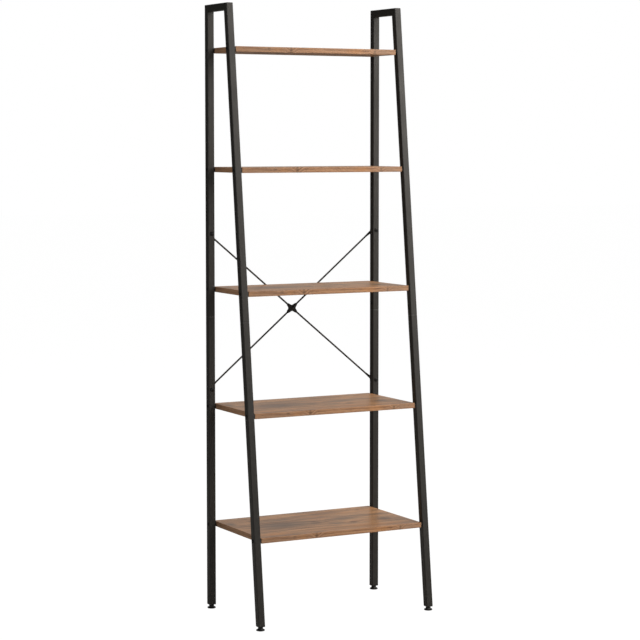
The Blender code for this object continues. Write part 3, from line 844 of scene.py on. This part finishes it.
# strip glued round the board, its section turned about each corner
def makeBand(name, low, high):
    v = board
    size, middle = high - low, (low + high) / 2
    # the section: inset from the outer face, height above the board's middle
    half, edge = size.z / 2, v["arris"]
    arc = [(edge * (1 - math.sin(a)), half - edge * (1 - math.cos(a))) for a in quarter]
    upper = [(v["band"], half), (edge + 0.01 * millimetre, half), *arc[1:-1], (0.0, half - edge),
             (0.0, half - edge - flatMargin)]
    section = upper + [(inset, -z) for inset, z in reversed(upper)]
    rings = []
    for cornerX, cornerY, first in ((1, 1, 0), (-1, 1, 90), (-1, -1, 180), (1, -1, 270)):
        for step in range(4):
            a = math.radians(first + 30 * step)
            ring = []
            for inset, z in section:
                curve = max(v["cornerRadius"] - inset, 0.02 * millimetre)
                rest = max(inset - v["cornerRadius"], 0.0) + v["cornerRadius"]
                ring.append(middle + Vector((cornerX * (size.x / 2 - rest) + math.cos(a) * curve,
                                             cornerY * (size.y / 2 - rest) + math.sin(a) * curve, z)))
            rings.append(ring)
    bm = bmesh.new()
    loft(bm, rings)
    layPrint(bm, low, high, True)
    attach(toObject(name, bm, boardBand), "frame", "wood_board")


def makeBoards():
    v = board
    for number in range(1, boardCount + 1):
        low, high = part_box(f"shelf_board_{number}")
        size = high - low
        core = bmesh.new()
        bmesh.ops.create_cube(core, size=1.0)
        # the panel is a hair smaller than the inside of its banding
        bmesh.ops.scale(core, vec=(size.x - 2.1 * v["band"], size.y - 2.1 * v["band"], size.z),
                        verts=core.verts)
        bmesh.ops.bevel(core, geom=core.edges[:], offset=v["faceChamfer"], segments=1, affect="EDGES")
        bmesh.ops.translate(core, vec=(low + high) / 2, verts=core.verts)
        bmesh.ops.recalc_face_normals(core, faces=core.faces)
        layPrint(core, low, high, False)
        slab = toObject(f"board_{number}_panel", core, boardFace, 20.0)
        attach(slab, "frame", "wood_board", f"shelf_board_{number}")
        makeBand(f"board_{number}_edge_band", low, high)
    print("boards ready")


brace = {
    "rodRadius": 2.5 * millimetre,
    "rodStart": 14.0 * millimetre,     # hub centre to the end of the rod buried in an arm
    "rodStop": 1.6 * millimetre,       # from the eye's bore to the rod's other end
    "eyeOuter": 7.5 * millimetre,
    "eyeBore": 3.3 * millimetre,
    "eyeThickness": 4.0 * millimetre,
    "eyeEdge": 0.5 * millimetre,
    "eyeGap": 0.3 * millimetre,        # between an eye and its leg
    "flattened": 26.0 * millimetre,    # length over which the rod is pressed flat towards its eye
    "hubVoxel": 0.4 * millimetre,
    "bossRadius": 5.0 * millimetre,
    "tip": 17.6 * millimetre,          # hub centre to the end of an arm
    "tipHalfAngle": 0.20,              # of an arm's end as seen from the hub's centre, in radians
    "waistSide": 10.7 * millimetre,    # hub centre to its edge between two arms
    "waistTop": 8.2 * millimetre,
    "sleeveRadius": 4.0 * millimetre,
}
braceCentre = middleOf("brace_hub")
braceEnds = {f"{level}_{side}": middleOf(f"brace_bolt_{level}_{side}") for level in levels for side in sides}


# round rod, pressed flat at its far end and welded to a drilled eye
def makeRod(name, end):
    v = brace
    eyeY = rearFace + v["eyeGap"] + v["eyeThickness"] / 2
    end = Vector((end.x, braceCentre.y, end.z))
    outwards = (end - braceCentre).normalized()
    sideways = outwards.cross(Vector((0, 1, 0)))
    start = braceCentre + outwards * v["rodStart"]
    length = (end - start).length - v["eyeBore"] - v["rodStop"]
    flat, steps = v["flattened"], 12
    stations = [0.0, 0.4 * millimetre, length * 0.5]
    stations += [length - flat * (1 - k / steps) for k in range(steps + 1)]
    rings = []
    for station in stations:
        # how far the pressing has gone: from none to all of it over the first 70% of the stretch
        t = min(max((station - length + flat) / (flat * 0.7), 0.0), 1.0)
        t = t * t * (3 - 2 * t)
        thick = v["rodRadius"] * (1 - t) + (v["eyeThickness"] / 2 - 0.15 * millimetre) * t
        wide = v["rodRadius"] * (1 + 0.45 * t)
        centre = start + outwards * station
        centre.y = braceCentre.y * (1 - t) + eyeY * t
        # towards the eye the section turns from a circle to a flat with round edges
        power = 1.0 - 0.45 * t
        ring = []
        for a in circleAngles(28):
            c, s = math.cos(a), math.sin(a)
            ring.append(centre + sideways * (wide * math.copysign(abs(c) ** power, c))
                        + Vector((0, 1, 0)) * (thick * math.copysign(abs(s) ** power, s)))
        rings.append(ring)
    rodBm = bmesh.new()
    loft(rodBm, rings, closedRound=False)
    rod = toObject(name, rodBm, coat)

    half, outer, edge = v["eyeThickness"] / 2, v["eyeOuter"], v["eyeEdge"]
    section = [(v["eyeBore"] + edge * 0.4, half), (outer - edge, half)]
    section += [(outer - edge + edge * math.sin(a), half - edge + edge * math.cos(a)) for a in quarter[1:]]
    section += [(r, -z) for r, z in reversed(section)]
    section += [(v["eyeBore"], -half + edge * 0.4), (v["eyeBore"], half - edge * 0.4)]
    eyeBm = bmesh.new()
    loft(eyeBm, [[Vector((end.x + r * math.cos(a), eyeY + z, end.z + r * math.sin(a))) for r, z in section]
                 for a in circleAngles(40)])
    eye = toObject(name + "_eye", eyeBm, coat)
    weld = rod.modifiers.new("weldEye", "BOOLEAN")
    weld.operation = "UNION"
    weld.solver = "EXACT"
    weld.object = eye
    plain(rod, 34.0)
    bpy.data.objects.remove(eye, do_unlink=True)
    return rod


# star-shaped casting: a plate, a sleeve for each rod and a boss, melted into one skin
def makeHub():
    v = brace
    low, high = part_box("brace_hub")
    thickness = high.y - low.y
    directions = [(Vector((end.x, braceCentre.y, end.z)) - braceCentre).normalized()
                  for end in braceEnds.values()]
    rises = sorted(math.atan2(d.z, d.x) % math.tau for d in directions)
    tip, sleeve, halfAngle = v["tip"], v["sleeveRadius"], v["tipHalfAngle"]
    # the plate's outline: arm ends, with hollow sides drawn in towards the middle
    outline = []
    for rise, following in zip(rises, rises[1:] + [rises[0] + math.tau]):
        outline += [(rise - halfAngle, tip), (rise + halfAngle, tip)]
        between, spread = (rise + following) / 2, (following - rise) / 2 - halfAngle
        waist = v["waistSide"] if abs(math.cos(between)) > 0.5 else v["waistTop"]
        outline += [(between + share * spread, waist + (tip - waist) * abs(share) ** 1.8 * 0.75)
                    for share in (-0.55, 0.0, 0.55)]
    bm = bmesh.new()
    loft(bm, [[braceCentre + Vector((r * math.cos(a), y, r * math.sin(a))) for a, r in outline]
              for y in (-thickness * 0.34, thickness * 0.34)], closedRound=False)
    for direction in directions:
        turnTo = direction.to_track_quat("Z", "Y").to_matrix().to_4x4()
        bmesh.ops.create_cone(bm, cap_ends=True, segments=24, radius1=sleeve * 1.03,
                              radius2=sleeve, depth=tip,
                              matrix=Matrix.Translation(braceCentre + direction * tip * 0.53) @ turnTo)
    bmesh.ops.create_uvsphere(bm, u_segments=24, v_segments=16, radius=v["bossRadius"],
                              matrix=Matrix.Translation(braceCentre)
                              @ Matrix.Diagonal((1.35, 0.92, 1.25, 1.0)))
    hub = toObject("brace_star_hub", bm, casting)
    skin = hub.modifiers.new("skin", "REMESH")
    skin.mode = "VOXEL"
    skin.voxel_size = v["hubVoxel"]
    soft = hub.modifiers.new("soft", "SMOOTH")
    soft.factor = 0.5
    soft.iterations = 5
    plain(hub, 180.0)
    attach(hub, "frame", "black_hub", "brace_hub")


def makeBrace():
    makeHub()
    for name, end in braceEnds.items():
        attach(makeRod(f"rod_{name}", end), "frame", "powder_coat", f"brace_rod_{name}")
    print("brace ready")


# millimetres
footing = {
    "studRadius": 3.98, "coreRadius": 3.35, "threadPitch": 1.25,
    "collarRadius": 7.0, "padRadius": 11.75,
    "padEdge": 3.0, "coneTop": 6.6, "sides": 64,
    "collarGap": 0.3,    # between the collar and the plug above it
    "threadStart": 1.2,  # plain shank under and over the thread
    "plugHeight": 19.0,
    "holeSlack": 0.32,   # between the plug and the stud, all round
    "spigotSlack": 0.3,  # between the plug and the tube's wall
    "rimGap": 0.05,      # between the plug's rim and the tube's end
}


# thread ridge: a diamond section that climbs a cylinder
def threadTree():
    tree, given = newNodeGroup("threadRidge", {
        "Turns": "Float", "Radius": "Float", "Climb": "Float", "Ridge": "Float",
        "Foot Height": "Float"})
    spiral = addNode(tree, "GeometryNodeCurveSpiral", {
        "Resolution": 28, "Rotations": given["Turns"], "Start Radius": given["Radius"],
        "End Radius": given["Radius"], "Height": given["Climb"]})
    upright = addNode(tree, "GeometryNodeSetCurveNormal", {"Curve": spiral.outputs[0]}, mode="Z_UP")
    section = addNode(tree, "GeometryNodeCurvePrimitiveCircle", {"Resolution": 4, "Radius": given["Ridge"]})
    ridge = addNode(tree, "GeometryNodeCurveToMesh", {
        "Curve": upright.outputs[0], "Profile Curve": section.outputs[0], "Fill Caps": True})
    lifted = moved(tree, ridge.outputs[0], given["Foot Height"])
    return closeTree(tree, given, joined(tree, given["Geometry"], lifted))


# half outline of a foot from its top to its sole: stud, collar, hollow sweep, pad
def footProfile(top, collarTop):
    v = footing
    core, collar, pad = v["coreRadius"], v["collarRadius"], v["padRadius"]
    sweepTop, padEdge = v["coneTop"] + 0.9, v["padEdge"]
    profile = [(0.02, top), (core - 0.7, top), (core, top - 0.7), (core, collarTop),
               (collar - 0.4, collarTop), (collar, collarTop - 0.4), (collar, sweepTop)]
    for k in range(1, 8):
        a = math.radians(90 * k / 8)
        profile.append((collar + (pad - 1.2 - collar) * (1 - math.cos(a)),
                        sweepTop - (sweepTop - 0.7 - padEdge) * math.sin(a)))
    profile += [(pad - 1.0 + math.cos(a), padEdge - 0.4 + math.sin(a) * 0.9) for a in reversed(quarter)]
    profile += [(pad, 0.7), (pad - 0.2, 0.25), (pad - 0.8, 0.0), (0.02, 0.0)]
    return [(r * millimetre, z * millimetre) for r, z in profile]


def makeFeet():
    v = footing
    tree = threadTree()
    for side in sides:
        for leg in legs:
            node = f"levelling_foot_{leg}_{side}"
            low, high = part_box(node)
            middle = (low + high) / 2
            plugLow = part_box(f"leg_plug_{leg}_{side}")[0].z
            collarTop = plugLow / millimetre - v["collarGap"]
            top = high.z / millimetre
            bm = bmesh.new()
            loft(bm, [[Vector((r * math.cos(a), r * math.sin(a), z)) for a in circleAngles(v["sides"])]
                      for r, z in footProfile(top, collarTop)], closedRound=False)
            foot = toObject(f"foot_{leg}_{side}", bm, polyamide)
            climb = top - collarTop - 2 * v["threadStart"]
            grow(foot, tree, {
                "Turns": climb / v["threadPitch"],
                "Radius": v["coreRadius"] * millimetre, "Climb": climb * millimetre,
                "Ridge": (v["studRadius"] - v["coreRadius"]) * millimetre,
                "Foot Height": (collarTop + v["threadStart"]) * millimetre}, 40.0)
            foot.data.transform(Matrix.Translation((middle.x, middle.y, 0.0)))
            attach(foot, f"foot_{leg}_{side}", "black_plastic", node)
            makePlug(leg, side, plugLow)
    print("feet ready")


# moulded insert: a rim under the tube, and a spigot inside it with an upright hole
def makePlug(leg, side, plugLow):
    v = footing
    axis, _ = legAxis(leg, side, legEnd)
    centre = Vector((axis.x, axis.y, 0.0))
    slant = lean if leg == "front" else 0.0
    hole = (v["studRadius"] + v["holeSlack"]) * millimetre
    bore = tubeSize - 2 * tubing["wall"] - 2 * v["spigotSlack"] * millimetre
    rim = roundedSquare(tubeSize, tubeSize / math.cos(slant), tubing["cornerRadius"])
    spigot = roundedSquare(bore, bore, 0.8 * millimetre)

    def ring(outline, height, shrink=0.0, drift=0.0):
        return [centre + Vector((p.x * (1 - shrink), p.y * (1 - shrink) + drift, height)) for p in outline]

    def holeRing(height):
        return [centre + Vector((*(p.normalized() * hole), height)) for p in spigot]

    rimTop = legEnd - v["rimGap"] * millimetre
    spigotTop = legEnd + v["plugHeight"] * millimetre
    slide = math.tan(slant) * v["plugHeight"] * millimetre   # the spigot follows a leaning leg
    bm = bmesh.new()
    loft(bm, [
        holeRing(plugLow), ring(rim, plugLow, 0.06), ring(rim, plugLow + 0.35 * millimetre, 0.01),
        ring(rim, plugLow + 0.6 * millimetre), ring(rim, rimTop - 0.1 * millimetre),
        ring(rim, rimTop, 0.012), ring(spigot, rimTop), ring(spigot, spigotTop, 0.0, slide),
        holeRing(spigotTop)])
    plug = toObject(f"plug_{leg}_{side}", bm, polyamide, 35.0)
    attach(plug, "frame", "black_plastic", f"leg_plug_{leg}_{side}")


makeSideFrames()
makeWelds()
makeFasteners()
makeBoards()
makeBrace()
makeFeet()
